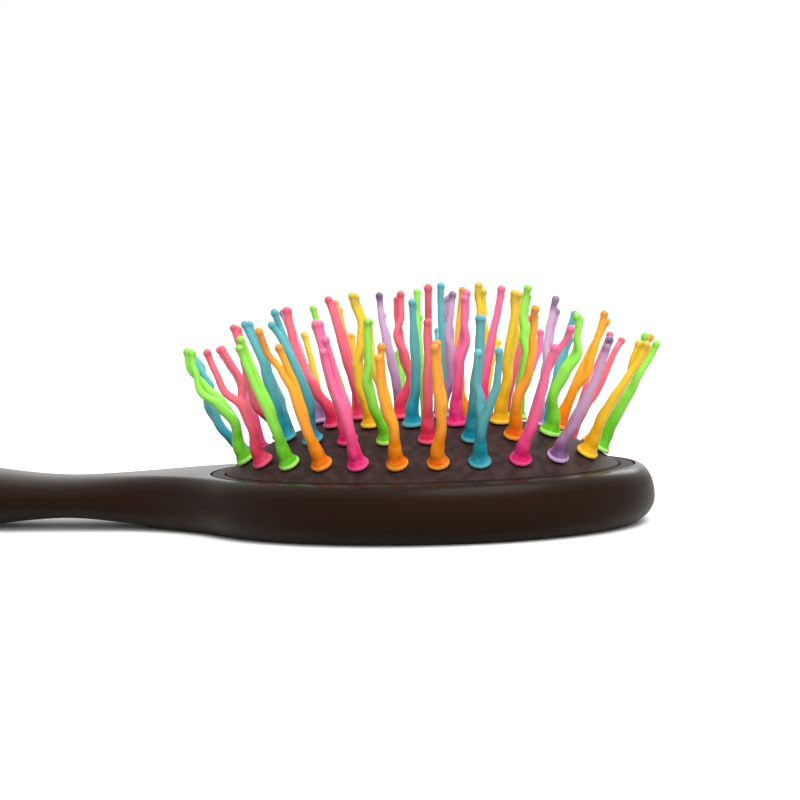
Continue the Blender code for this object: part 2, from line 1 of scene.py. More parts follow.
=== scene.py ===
"""The looks of a cushioned hair brush with forked, many-coloured elastomer tufts, lying on its back.

+Z points to the bristle tips, +X to the nose of the head, and the handle runs towards -X. The origin is
on the flat back, under the middle of the cushion. All lengths are in metres.
"""

import math
import random

import bmesh
import bpy
import numpy as np
from mathutils import Matrix, Vector


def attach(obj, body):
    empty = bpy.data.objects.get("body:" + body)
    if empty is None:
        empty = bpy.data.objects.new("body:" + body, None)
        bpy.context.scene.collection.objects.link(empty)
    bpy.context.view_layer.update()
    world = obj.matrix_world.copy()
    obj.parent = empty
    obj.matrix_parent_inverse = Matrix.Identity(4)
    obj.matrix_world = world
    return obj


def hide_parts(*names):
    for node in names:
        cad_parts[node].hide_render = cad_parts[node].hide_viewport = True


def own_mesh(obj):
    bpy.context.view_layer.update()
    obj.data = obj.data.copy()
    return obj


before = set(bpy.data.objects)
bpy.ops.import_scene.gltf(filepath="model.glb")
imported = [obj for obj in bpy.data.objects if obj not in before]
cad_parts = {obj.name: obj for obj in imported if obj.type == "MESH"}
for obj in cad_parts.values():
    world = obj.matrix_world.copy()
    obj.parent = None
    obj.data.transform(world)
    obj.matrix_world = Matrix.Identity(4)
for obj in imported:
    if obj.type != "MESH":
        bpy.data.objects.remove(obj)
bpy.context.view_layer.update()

# The camera stands level with the bristles on the long side of the head, turned a little towards the
# nose, and rolled so that the head slopes as in the photograph. It is aimed at the middle of the
# photograph's frame.
VIEW_AZIMUTH = math.radians(15.05)
VIEW_ELEVATION = math.radians(3.73)
VIEW_ROLL = math.radians(-2.40)
VIEW_DISTANCE = 0.350
VIEW_TARGET = Vector((-0.0034, 0.0, 0.0252))
IMAGE_PIXELS = 800
FOCAL_PIXELS = 1733.6
SENSOR_WIDTH_MM = 36.0
CLIP_START = 0.010

camera_back = Vector(
    (
        math.sin(VIEW_AZIMUTH) * math.cos(VIEW_ELEVATION),
        -math.cos(VIEW_AZIMUTH) * math.cos(VIEW_ELEVATION),
        math.sin(VIEW_ELEVATION),
    )
)
level_right = Vector((math.cos(VIEW_AZIMUTH), math.sin(VIEW_AZIMUTH), 0.0))
level_up = camera_back.cross(level_right)
camera_right = level_right * math.cos(VIEW_ROLL) + level_up * math.sin(VIEW_ROLL)
camera_up = level_up * math.cos(VIEW_ROLL) - level_right * math.sin(VIEW_ROLL)
camera = bpy.data.objects.new("photo_camera", bpy.data.cameras.new("photo_camera"))
camera.data.sensor_width = SENSOR_WIDTH_MM
camera.data.lens = FOCAL_PIXELS / IMAGE_PIXELS * SENSOR_WIDTH_MM
camera.data.clip_start = CLIP_START
camera.matrix_world = Matrix.Translation(VIEW_TARGET + camera_back * VIEW_DISTANCE) @ Matrix(
    (camera_right, camera_up, camera_back)
).transposed().to_4x4()
bpy.context.scene.collection.objects.link(camera)
bpy.context.scene.camera = camera

# The body is one injection moulding in dark brown ABS: an oval head with a rounded shoulder and an undercut
# side, and a handle that leaves it through a soft neck. A well for the cushion is sunk in its deck, and a
# small vent runs from the well's floor through the flat back.
CUSHION_LENGTH = 0.0804
CUSHION_WIDTH = 0.0530
HALF_LENGTH = CUSHION_LENGTH / 2
HALF_WIDTH = CUSHION_WIDTH / 2
RIM_HEIGHT = 0.0115
HEAD_MARGIN = 0.0069
SHOULDER_WIDTH = 0.0034
UNDERCUT_WIDTH = 0.0060
SIDE_HEIGHT = 0.0052
WELL_LEDGE = 0.0018
WELL_FLOOR = 0.0030
VENT_DIAMETER = 0.0020
FIT_GAP = 0.0003
FRAME_WIDTH = 0.0030
FRAME_THICKNESS = 0.0013
FLANGE_WIDTH = 0.0020
FLANGE_THICKNESS = 0.0012
FLANGE_TOP = RIM_HEIGHT - FRAME_THICKNESS - FIT_GAP
FLANGE_BOTTOM = FLANGE_TOP - FLANGE_THICKNESS
LEDGE_HEIGHT = FLANGE_BOTTOM - FIT_GAP
HANDLE_LENGTH = 0.1220
NECK_WIDTH = 0.0220
NECK_TOP = 0.0108
NECK_LIFT = 0.0020
GRIP_WIDTH = 0.0270
GRIP_TOP = 0.0150
BUTT_WIDTH = 0.0215
BUTT_TOP = 0.0125
BUTT_LIFT = 0.0010
BUTT_ROUND = 0.0120
NECK_FILLET = 0.0260
FILLET_START_SHARE = 0.76
NECK_SHARE = 0.24
GRIP_SHARE = 0.60
REST_SHARES = (0.48, 0.86)
HANDLE_ROUND_SHARE = 0.90
HEAD_HALF_LENGTH = HALF_LENGTH + HEAD_MARGIN
HEAD_HALF_WIDTH = HALF_WIDTH + HEAD_MARGIN
BUTT_X = -HEAD_HALF_LENGTH - HANDLE_LENGTH
NOSE_ROUND = HEAD_HALF_WIDTH**2 / HEAD_HALF_LENGTH
BODY_SIDE_POINTS = 200
BEND_WEIGHT = 0.9
ROUND_STEPS = 14
DENSE_STEPS = 2000
OVAL_SIDES = 240
VENT_SIDES = 48
CUT_OVERRUN = 0.0020
MERGE_DISTANCE = FIT_GAP / 1000
BODY_SHARP_ANGLE = math.radians(35)
POLISH_BOTTOM = 0.0090
POLISH_TOP = 0.0112
GRAIN_SIZE = 0.00025
GRAIN_DEPTH = 0.00003
CLOUD_SIZE = 0.0120


def ease(share):
    """Smooth rise from 0 to 1: three times the square less twice the cube."""
    share = np.clip(share, 0.0, 1.0)
    return share * share * (3 - 2 * share)


def through_stations(share, stations):
    """A size that eases from each station's value to the next one's."""
    value = np.full_like(share, stations[0][1])
    for (start, low), (end, high) in zip(stations, stations[1:]):
        value = value + (high - low) * ease((share - start) / (end - start))
    return value


def handle_share(x):
    """0 where the handle leaves the head, 1 at the butt, evenly along it."""
    return (-HEAD_HALF_LENGTH - x) / HANDLE_LENGTH


def head_half_width(x):
    """Half width of the head's oval: an ellipse along the brush."""
    return HEAD_HALF_WIDTH * np.sqrt(np.clip(1 - (x / HEAD_HALF_LENGTH) ** 2, 0.0, None))


def handle_half_width(x):
    """Half width of the handle: eased from neck to grip to butt, then closed by a quarter ellipse."""
    stations = (
        (0.0, NECK_WIDTH / 2),
        (NECK_SHARE, NECK_WIDTH / 2),
        (GRIP_SHARE, GRIP_WIDTH / 2),
        (1.0, BUTT_WIDTH / 2),
    )
    into_round = np.clip((BUTT_ROUND - (x - BUTT_X)) / BUTT_ROUND, 0.0, 1.0)
    return through_stations(handle_share(x), stations) * np.sqrt(1 - into_round**2)


def body_half_width(x):
    """Plan outline: the head's oval, a cubic fillet that leaves it along its tangent, and the handle."""
    start = -FILLET_START_SHARE * HEAD_HALF_LENGTH
    end = start - NECK_FILLET
    high = head_half_width(start)
    low = handle_half_width(np.array([end]))[0]
    fall = HEAD_HALF_WIDTH**2 * FILLET_START_SHARE / (HEAD_HALF_LENGTH * high)
    share = np.clip((start - x) / NECK_FILLET, 0.0, 1.0)
    fillet = high + (low - high) * ease(share) - fall * NECK_FILLET * share * (1 - share) ** 2
    return np.where(x > start, head_half_width(x), np.where(x > end, fillet, handle_half_width(x)))


def body_outline():
    """Points of the plan outline from nose to butt, spaced by length and by how much the outline bends."""
    spread = (1 - np.cos(np.linspace(0.0, math.pi, DENSE_STEPS + 1))) / 2
    x = HEAD_HALF_LENGTH + (BUTT_X - HEAD_HALF_LENGTH) * spread
    y = body_half_width(x)
    step = np.hypot(np.diff(x), np.diff(y))
    heading = np.unwrap(np.arctan2(np.diff(y), np.diff(x)))
    bend = np.abs(np.diff(heading, prepend=heading[0]))
    step = step / step.sum() + BEND_WEIGHT * bend / bend.sum()
    along = np.concatenate([[0.0], np.cumsum(step)])
    wanted = np.linspace(0.0, along[-1], BODY_SIDE_POINTS)
    side_x = np.interp(wanted, along, x)
    side_y = np.interp(wanted, along, y)
    side_y[[0, -1]] = 0.0
    return np.concatenate([side_x, side_x[-2:0:-1]]), np.concatenate([side_y, -side_y[-2:0:-1]])


def body_rings():
    """Rings from the spine over the shoulder, the side and the undercut back to the spine. Each is the
    outline drawn in towards the spine by an inset, at a height, where both follow two quarter ellipses."""
    x, y = body_outline()
    spine_x = np.clip(x, BUTT_X + BUTT_ROUND, HEAD_HALF_LENGTH - NOSE_ROUND)
    reach = np.hypot(x - spine_x, y)
    rest_start, rest_end = REST_SHARES
    along = handle_share(spine_x)
    top = through_stations(
        along, ((0.0, RIM_HEIGHT), (NECK_SHARE, NECK_TOP), (GRIP_SHARE, GRIP_TOP), (1.0, BUTT_TOP))
    )
    back = through_stations(
        along, ((0.0, 0.0), (NECK_SHARE, NECK_LIFT), (rest_start, 0.0), (rest_end, 0.0), (1.0, BUTT_LIFT))
    )
    into_handle = ease(along / NECK_SHARE)
    shoulder = (1 - into_handle) * SHOULDER_WIDTH + into_handle * HANDLE_ROUND_SHARE * reach
    undercut = (1 - into_handle) * UNDERCUT_WIDTH + into_handle * HANDLE_ROUND_SHARE * reach
    side = (1 - into_handle) * SIDE_HEIGHT + into_handle * (top + back) / 2
    down = np.linspace(math.pi / 2, 0.0, ROUND_STEPS + 1)[:, None]
    up = down[-2::-1]
    inset = np.concatenate([[reach], shoulder * (1 - np.cos(down)), undercut * (1 - np.cos(up)), [reach]])
    upper = side + (top - side) * np.sin(down)
    lower = side - (side - back) * np.sin(up)
    height = np.concatenate([[top], upper, lower, [back]])
    keep = 1 - inset / reach
    return np.stack([spine_x + (x - spine_x) * keep, y * keep, height], axis=2)


def oval(outset, height, sides=OVAL_SIDES):
    """A ring of points on the ellipse at this outset from the cushion's edge, at this height."""
    turn = np.linspace(0.0, 2 * math.pi, sides, endpoint=False)
    x = (HALF_LENGTH + outset) * np.sin(turn)
    y = -(HALF_WIDTH + outset) * np.cos(turn)
    return np.stack([x, y, np.full(sides, height)], axis=1)


def grid_faces(rows, columns, close):
    """Corner numbers of a grid's quads. Each row is a ring, and close joins the last row to the first."""
    row = np.arange(rows if close else rows - 1)[:, None]
    column = np.arange(columns)[None, :]
    after = (column + 1) % columns
    above = (row + 1) % rows
    corners = np.broadcast_arrays(
        row * columns + column, row * columns + after, above * columns + after, above * columns + column
    )
    return np.stack(corners, axis=2).reshape(-1, 4)


def mesh_from(name, points, faces):
    """A mesh from arrays of points and quads, with coincident points merged and faces turned outwards."""
    mesh = bpy.data.meshes.new(name)
    mesh.from_pydata(points.reshape(-1, 3).tolist(), [], faces.tolist())
    shape = bmesh.new()
    shape.from_mesh(mesh)
    bmesh.ops.remove_doubles(shape, verts=shape.verts[:], dist=MERGE_DISTANCE)
    bmesh.ops.recalc_face_normals(shape, faces=shape.faces[:])
    shape.to_mesh(mesh)
    shape.free()
    mesh.shade_smooth()
    return mesh


def add_piece(name, mesh):
    """An object of this mesh, at the origin."""
    piece = bpy.data.objects.new(name, mesh)
    bpy.context.scene.collection.objects.link(piece)
    return piece


def lofted(name, rings, close=False):
    """A piece through rings of points. Its end rings close on themselves, or the last joins the first."""
    rings = np.asarray(rings)
    return add_piece(name, mesh_from(name, rings, grid_faces(len(rings), rings.shape[1], close)))


def capped(name, rings):
    """A lofted piece whose end rings shrink to a point at their middle."""
    ends = [np.broadcast_to(ring.mean(axis=0), ring.shape) for ring in (rings[0], rings[-1])]
    return lofted(name, [ends[0], *rings, ends[1]])


def bake_modifiers(piece):
    """Replaces the piece's mesh by what its modifiers make of it."""
    graph = bpy.context.evaluated_depsgraph_get()
    made = bpy.data.meshes.new_from_object(piece.evaluated_get(graph))
    piece.modifiers.clear()
    piece.data = made


def cut(piece, cutter):
    """Takes the cutter's shape out of the piece."""
    boolean = piece.modifiers.new("Cut", "BOOLEAN")
    boolean.operation = "DIFFERENCE"
    boolean.solver = "EXACT"
    boolean.object = cutter
    bake_modifiers(piece)
    bpy.data.objects.remove(cutter)


def linear(code):
    """The linear RGBA colour of an sRGB hex value."""
    channels = [int(code[i : i + 2], 16) / 255 for i in (1, 3, 5)]
    return [c / 12.92 if c <= 0.04045 else ((c + 0.055) / 1.055) ** 2.4 for c in channels] + [1.0]


def add_node(tree, kind, inputs=None, **settings):
    """Adds a node with its settings. inputs gives each socket a value, or the socket it is linked from."""
    node = tree.nodes.new(kind)
    for setting, value in settings.items():
        setattr(node, setting, value)
    for socket, value in (inputs or {}).items():
        if isinstance(value, bpy.types.NodeSocket):
            tree.links.new(value, node.inputs[socket])
        else:
            node.inputs[socket].default_value = value
    return node


def new_material(name, inputs):
    """A material whose shader has these values on its own sockets. Returns the material and its nodes."""
    material = bpy.data.materials.new(name)
    material.use_nodes = True
    tree = material.node_tree
    shader = tree.nodes["Principled BSDF"]
    for socket, value in inputs.items():
        shader.inputs[socket].default_value = value
    return material, tree, shader


def satin_abs(name, colour, sheen_colour):
    """Injection-moulded ABS with a fine spark-eroded grain: dark and satin, and a little cloudy."""
    material, tree, shader = new_material(
        name, {"Specular IOR Level": 0.10, "Specular Tint": linear("#E8C8B0")}
    )
    where = add_node(tree, "ShaderNodeTexCoord").outputs["Object"]
    # The grain is drawn about twice as coarse as a real one, so that it shows
    grain = add_node(tree, "ShaderNodeTexNoise", {"Vector": where, "Scale": 1 / GRAIN_SIZE, "Detail": 3.0})
    cloud = add_node(tree, "ShaderNodeTexNoise", {"Vector": where, "Scale": 1 / CLOUD_SIZE, "Detail": 4.0})
    tone = add_node(
        tree,
        "ShaderNodeMix",
        {"Factor": cloud.outputs["Fac"], "A": linear(colour), "B": linear(sheen_colour)},
        data_type="RGBA",
    )
    satin = add_node(
        tree, "ShaderNodeMapRange", {"Value": cloud.outputs["Fac"], "To Min": 0.40, "To Max": 0.50}
    )
    bump = add_node(
        tree,
        "ShaderNodeBump",
        {"Height": grain.outputs["Fac"], "Strength": 0.25, "Distance": GRAIN_DEPTH},
    )
    tree.links.new(tone.outputs["Result"], shader.inputs["Base Color"])
    tree.links.new(satin.outputs["Result"], shader.inputs["Roughness"])
    tree.links.new(bump.outputs["Normal"], shader.inputs["Normal"])
    return material


def polish_deck(material):
    """Polishes the moulding's upper side: a faint gloss that rises evenly with height up the shoulder."""
    tree = material.node_tree
    shader = tree.nodes["Principled BSDF"]
    shader.inputs["Coat Roughness"].default_value = 0.22
    shader.inputs["Coat IOR"].default_value = 1.17
    where = add_node(tree, "ShaderNodeTexCoord").outputs["Object"]
    place = add_node(tree, "ShaderNodeSeparateXYZ", {"Vector": where})
    polish = add_node(
        tree,
        "ShaderNodeMapRange",
        {"Value": place.outputs["Z"], "From Min": POLISH_BOTTOM, "From Max": POLISH_TOP},
    )
    tree.links.new(polish.outputs["Result"], shader.inputs["Coat Weight"])


body = lofted("body_moulding", body_rings())
pocket = FRAME_WIDTH + FIT_GAP
seat = FLANGE_WIDTH + FIT_GAP
well_steps = (
    (-WELL_LEDGE, WELL_FLOOR),
    (-WELL_LEDGE, LEDGE_HEIGHT),
    (seat, LEDGE_HEIGHT),
    (seat, FLANGE_TOP),
    (pocket, FLANGE_TOP),
    (pocket, RIM_HEIGHT + CUT_OVERRUN),
)
cut(body, capped("well_cutter", [oval(outset, height) for outset, height in well_steps]))
vent_turn = np.linspace(0.0, 2 * math.pi, VENT_SIDES, endpoint=False)
vent_ring = np.stack([np.sin(vent_turn), np.cos(vent_turn), np.zeros_like(vent_turn)], axis=1)
vent_ring = vent_ring * VENT_DIAMETER / 2 + [-HALF_LENGTH / 2, 0.0, 0.0]
vent_heights = (-CUT_OVERRUN, WELL_FLOOR + CUT_OVERRUN)
cut(body, capped("vent_cutter", [vent_ring + [0.0, 0.0, height] for height in vent_heights]))
body.data.shade_smooth()
body.data.set_sharp_from_angle(angle=BODY_SHARP_ANGLE)
body_abs = satin_abs("moulded_abs_body", "#180E09", "#1D120C")
polish_deck(body_abs)
body.data.materials.append(body_abs)
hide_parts("brush_body")
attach(body, "brush")

# The cushion is a domed diaphragm of soft rubber about 1.6 mm thick, moulded with a flat flange that the
# frame clamps. Air under it lets it give. Its skin is matte, with the mottle and dust of a rubber mould.
CUSHION_RISE = 0.0097
CUSHION_WALL = 0.0016
DOME_ROWS = 40
ROW_POWER = 0.8
NECK_DIAMETER = 0.0018
HOLE_SIDES = 24
TURN_SAMPLES = 721
TINY = 1e-9
RUBBER_SHARP_ANGLE = math.radians(50)
BLOOM_SIZE = 0.0020
PORE_SIZE = 0.0003
PORE_DEPTH = 0.00005
EDGE_TO_OUTER_RING = 0.0040
CENTRE_ROW_SHIFT = 0.0009
CENTRE_ROW_SHARE = 0.93
RIDGE_HALF = HALF_LENGTH - HALF_WIDTH
OUTER_PHASE_SHARE = 0.213
MIDDLE_PHASE_SHARE = -0.271
INNER_PHASE_SHARE = 0.125

# Each ring's name, its number of tufts, where the first one stands as a share of the spacing, and the
# colours in order
RINGS = (
    (
        "outer",
        24,
        OUTER_PHASE_SHARE,
        "orange orange teal magenta purple yellow green orange rose teal magenta yellow "
        "teal green orange yellow teal magenta teal green rose green orange magenta",
    ),
    (
        "middle",
        17,
        MIDDLE_PHASE_SHARE,
        "green rose teal orange green orange purple rose orange "
        "green yellow green purple rose teal teal magenta",
    ),
    (
        "inner",
        11,
        INNER_PHASE_SHARE,
        "teal magenta yellow green yellow teal purple orange purple rose yellow",
    ),
)
CENTRE_COLOURS = "rose rose purple magenta"
RING_STEP = (HALF_WIDTH - EDGE_TO_OUTER_RING) / len(RINGS)


def dome_heights(inset):
    """Height of the cushion at an inset from its edge: a parabola across, level along the middle ridge."""
    slack = 1 - inset / HALF_WIDTH
    return RIM_HEIGHT + CUSHION_RISE * (1 - slack**2)


def dome_normals(inset, turn):
    """Directions that point straight out of the dome, from its slope across the oval that passes there."""
    slope = 2 * CUSHION_RISE * (1 - inset / HALF_WIDTH) / HALF_WIDTH
    across = np.stack([(HALF_WIDTH - inset) * np.sin(turn), -(HALF_LENGTH - inset) * np.cos(turn)], axis=-1)
    across = across / np.maximum(np.linalg.norm(across, axis=-1, keepdims=True), TINY)
    run = np.abs(across[..., 0] * np.sin(turn) - across[..., 1] * np.cos(turn))
    normal = np.stack([across[..., 0] * slope, across[..., 1] * slope, run], axis=-1)
    return normal / np.linalg.norm(normal, axis=-1, keepdims=True)


def dome_rings(insets, depth):
    """Rings of the dome from its ridge to its edge, sunk by a depth along the dome's normal."""
    turn = np.linspace(0.0, 2 * math.pi, OVAL_SIDES, endpoint=False)[None, :]
    inset = np.asarray(insets)[:, None]
    points = np.stack(
        [
            (HALF_LENGTH - inset) * np.sin(turn),
            -(HALF_WIDTH - inset) * np.cos(turn),
            np.broadcast_to(dome_heights(inset), (len(insets), OVAL_SIDES)),
        ],
        axis=2,
    )
    points = points - dome_normals(inset, turn) * depth
    points[inset[:, 0] > HALF_WIDTH - MERGE_DISTANCE, :, 1] = 0.0
    return points


def ring_turns(inset, count, phase_share):
    """Turns of evenly spaced places along the oval at this inset."""
    turn = np.linspace(0.0, 2 * math.pi, TURN_SAMPLES)
    x = (HALF_LENGTH - inset) * np.sin(turn)
    y = -(HALF_WIDTH - inset) * np.cos(turn)
    along = np.concatenate([[0.0], np.cumsum(np.hypot(np.diff(x), np.diff(y)))])
    wanted = (np.arange(count) + phase_share) * along[-1] / count
    return np.interp(wanted % along[-1], along, turn)


def tuft_sites():
    """Ring, number, inset, turn and colour of every tuft. The centre row is spread evenly on the ridge."""
    for index, (ring, count, phase_share, colours) in enumerate(RINGS):
        inset = EDGE_TO_OUTER_RING + index * RING_STEP
        turns = ring_turns(inset, count, phase_share)
        for number, (turn, colour) in enumerate(zip(turns, colours.split()), start=1):
            yield ring, number, inset, turn, colour
    colours = CENTRE_COLOURS.split()
    for number, colour in enumerate(colours, start=1):
        share = 2 * (number - 1) / (len(colours) - 1) - 1
        x = CENTRE_ROW_SHIFT + share * CENTRE_ROW_SHARE * RIDGE_HALF
        yield "centre", number, HALF_WIDTH, math.asin(min(x / RIDGE_HALF, 1.0)), colour


def site_frame(inset, turn):
    """The tuft's foot on the cushion, and its own X, Y and Z as rows, Z straight out of the surface."""
    inset, turn = np.float64(inset), np.float64(turn)
    up = dome_normals(inset, turn)
    across = np.array([1.0, 0.0, 0.0]) - up * up[0]
    across /= np.linalg.norm(across)
    x = (HALF_LENGTH - inset) * np.sin(turn)
    y = -(HALF_WIDTH - inset) * np.cos(turn)
    foot = np.array([x, y, dome_heights(inset)])
    return foot, np.array([across, np.cross(up, across), up])


def matte_rubber(name, colour, dust_colour):
    """Moulded natural rubber: matte, with a cloudy bloom and pores that break up its faint sheen."""
    material, tree, shader = new_material(
        name, {"Specular IOR Level": 0.22, "Specular Tint": linear("#E8D4D0")}
    )
    where = add_node(tree, "ShaderNodeTexCoord").outputs["Object"]
    bloom = add_node(tree, "ShaderNodeTexNoise", {"Vector": where, "Scale": 1 / BLOOM_SIZE, "Detail": 5.0})
    pores = add_node(tree, "ShaderNodeTexNoise", {"Vector": where, "Scale": 1 / PORE_SIZE, "Detail": 2.0})
    dust = add_node(
        tree, "ShaderNodeMapRange", {"Value": bloom.outputs["Fac"], "From Min": 0.42, "From Max": 0.68}
    )
    tone = add_node(
        tree,
        "ShaderNodeMix",
        {"Factor": dust.outputs["Result"], "A": linear(colour), "B": linear(dust_colour)},
        data_type="RGBA",
    )
    dull = add_node(
        tree, "ShaderNodeMapRange", {"Value": bloom.outputs["Fac"], "To Min": 0.50, "To Max": 0.70}
    )
    bump = add_node(
        tree, "ShaderNodeBump", {"Height": pores.outputs["Fac"], "Strength": 0.4, "Distance": PORE_DEPTH}
    )
    tree.links.new(tone.outputs["Result"], shader.inputs["Base Color"])
    tree.links.new(dull.outputs["Result"], shader.inputs["Roughness"])
    tree.links.new(bump.outputs["Normal"], shader.inputs["Normal"])
    return material


dome_insets = HALF_WIDTH * (1 - np.linspace(0.0, 1.0, DOME_ROWS) ** ROW_POWER)
inner_skin = dome_rings(dome_insets[::-1], CUSHION_WALL)
inner_skin[..., 2] = np.maximum(inner_skin[..., 2], RIM_HEIGHT)
diaphragm = lofted("rubber_diaphragm", [*dome_rings(dome_insets, 0.0), *inner_skin])

# The cutter of a hole is a closed cylinder that stands square on the dome and passes through its wall
hole_turn = np.linspace(0.0, 2 * math.pi, HOLE_SIDES, endpoint=False)[None, :]
hole_radii = (NECK_DIAMETER / 2 + FIT_GAP) * np.array([0.0, 1.0, 1.0, 0.0])[:, None]
hole_low, hole_high = -CUSHION_WALL - CUT_OVERRUN, CUT_OVERRUN
hole_heights = np.array([hole_low, hole_low, hole_high, hole_high])[:, None]
hole_x, hole_y = hole_radii * np.cos(hole_turn), hole_radii * np.sin(hole_turn)
hole = np.stack(np.broadcast_arrays(hole_x, hole_y, hole_heights), axis=2)
holes, hole_faces = [], []
for _, _, inset, turn, _ in tuft_sites():
    foot, axes = site_frame(inset, turn)
    hole_faces.append(grid_faces(len(hole), HOLE_SIDES, False) + len(holes) * hole[..., 0].size)
    holes.append(hole @ axes + foot)
hole_mesh = mesh_from("hole_cutter", np.array(holes), np.concatenate(hole_faces))
cut(diaphragm, add_piece("hole_cutter", hole_mesh))
diaphragm.data.shade_smooth()
flange_section = (
    (0.0, RIM_HEIGHT),
    (0.0, FLANGE_TOP),
    (FLANGE_WIDTH, FLANGE_TOP),
    (FLANGE_WIDTH, FLANGE_BOTTOM),
    (-CUSHION_WALL, FLANGE_BOTTOM),
    (-CUSHION_WALL, RIM_HEIGHT),
)
flange = lofted("rubber_flange", [oval(outset, height) for outset, height in flange_section], close=True)
rubber = matte_rubber("matte_rubber_cushion", "#251818", "#3B2B29")
for cushion in (diaphragm, flange):
    cushion.data.set_sharp_from_angle(angle=RUBBER_SHARP_ANGLE)
    cushion.data.materials.append(rubber)
    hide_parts("cushion_pad")
    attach(cushion, "brush")
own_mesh(diaphragm)

# The frame is a thin ring moulded in the body's plastic. It is pressed into the pocket round the well,
# flush with the rim, and holds the cushion's flange down. Its section is a flat rectangle whose upper
# edges are quarter circles.
FRAME_EDGE_ROUND = 0.0004
FRAME_EDGE_STEPS = 6
FRAME_SHARP_ANGLE = math.radians(50)
edge_turn = np.linspace(0.0, math.pi / 2, FRAME_EDGE_STEPS)
edge_in = FRAME_EDGE_ROUND * (1 - np.cos(edge_turn))
edge_down = FRAME_EDGE_ROUND * (1 - np.sin(edge_turn))
frame_outsets = np.concatenate([[FIT_GAP, FRAME_WIDTH], FRAME_WIDTH - edge_in, FIT_GAP + edge_in[::-1]])
frame_drops = np.concatenate([[FRAME_THICKNESS, FRAME_THICKNESS], edge_down, edge_down[::-1]])
frame_rings = [oval(outset, RIM_HEIGHT - drop) for outset, drop in zip(frame_outsets, frame_drops)]
clamp_ring = lofted("clamp_ring", frame_rings, close=True)
clamp_ring.data.set_sharp_from_angle(angle=FRAME_SHARP_ANGLE)
clamp_ring.data.materials.append(satin_abs("moulded_abs_ring", "#1A110E", "#20150F"))
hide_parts("cushion_frame")
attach(clamp_ring, "brush")

# Each tuft is one moulding of translucent thermoplastic elastomer: a barb and a neck that hold it in the
# cushion, a flared foot on it, and a stem that splits into two wavy strands with small ball tips. The
# tufts stand in three oval rings and a centre row, and lean outwards as the dome does.
FAN_RADIUS = 0.0620
TUFT_HEIGHT = 0.0255
TIP_DROP_SHARE = 0.08
FOOT_DIAMETER = 0.0044
FOOT_EDGE = 0.0005
FOOT_HEIGHT = 0.0024
STEM_DIAMETER = 0.0028
STEM_CORE_SHARE = 0.9
STEM_TAPER_SHARE = 0.5
FLARE_POWER = 1.5
FLARE_STEPS = 6
BARB_DIAMETER = 0.0031
BARB_HEIGHT = 0.0014
BARB_TIP_SHARE = 1 / 3
SPLIT_HEIGHT = 0.0085
STRAND_ROOT_DIAMETER = 0.0020
STRAND_DIAMETER = 0.0014
STRAND_SPREAD = 0.0022
ROOT_LANE = 0.00045
TIP_LANE = 0.0011
TIP_DIAMETER = 0.0017
BALL_START_SHARE = 0.9
TUFT_SIDES = 14
STEM_STEPS = 20
STRAND_STEPS = 56
BALL_STEPS = 12
STATION_SHARES = (0.0, 0.25, 0.5, 0.75, 1.0)
LANE_TURN_SHARE = 1 / 24
SPLIT_WANDER_SHARE = 0.5
STATION_WANDER_SHARE = 0.3
NEAR_SHARE = -0.1
FAR_SHARE = 0.45
TUFT_SEED = 7
VOXEL = 0.0002
SMOOTH_FACTOR = 0.5
SMOOTH_ROUNDS = 3
SUBSURFACE_REACH = 0.0015
SWIRL_SIZE = 0.0025
COLOUR_STOP_SHARES = (0.06, 0.22, 0.55, 0.90, 0.97)

